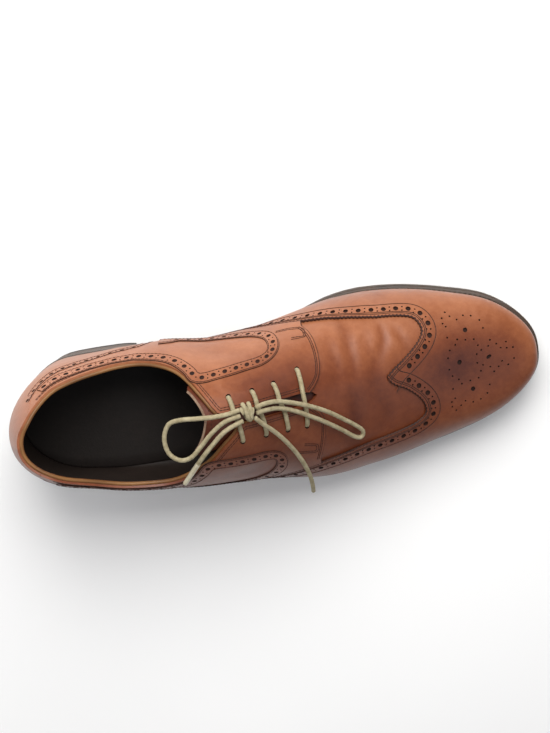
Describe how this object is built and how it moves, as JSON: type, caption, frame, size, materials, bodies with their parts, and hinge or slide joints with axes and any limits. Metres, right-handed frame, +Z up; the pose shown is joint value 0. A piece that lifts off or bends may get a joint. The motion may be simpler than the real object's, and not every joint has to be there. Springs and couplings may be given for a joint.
{
  "type": "brogue shoe",
  "caption": "Full-brogue derby shoe for the right foot: hollow upper with wing cap, counter, quarters and tongue on a welted sole with a heel, laced and tied.",
  "frame": {"origin": "on the floor, under the middle of the heel", "axes": "+X towards the toe, +Y towards the inner (medial) side of the foot, +Z up"},
  "size_m": [0.312, 0.111, 0.11],
  "materials": {
    "tan_leather": "polished full-grain",
    "dark_lining": "worn dark lining",
    "dark_sole_edge": "dark dressed edge",
    "stacked_heel": "stacked layers",
    "heel_rubber": "matte",
    "beige_lace": "round woven cotton",
    "clear_tip": "clear film"
  },
  "bodies": {
    "root": {"top_lift": "heel_rubber", "heel_stack": "stacked_heel", "outsole": "dark_sole_edge", "welt": "dark_sole_edge", "insole": "dark_lining", "upper": "tan_leather", "wing_cap": "tan_leather", "heel_counter": "tan_leather", "quarter_medial": "tan_leather", "band_medial": "tan_leather", "quarter_lateral": "tan_leather", "band_lateral": "tan_leather", "tongue": "tan_leather", "lace_bar_1": "beige_lace", "lace_bar_2": "beige_lace", "lace_bar_3": "beige_lace", "lace_bar_4": "beige_lace", "lace_knot": "beige_lace", "lace_loop_1": "beige_lace", "lace_loop_2": "beige_lace", "lace_end_1": "beige_lace", "lace_end_2": "beige_lace", "lace_tip_1": "clear_tip"}
  },
  "joints": []
}
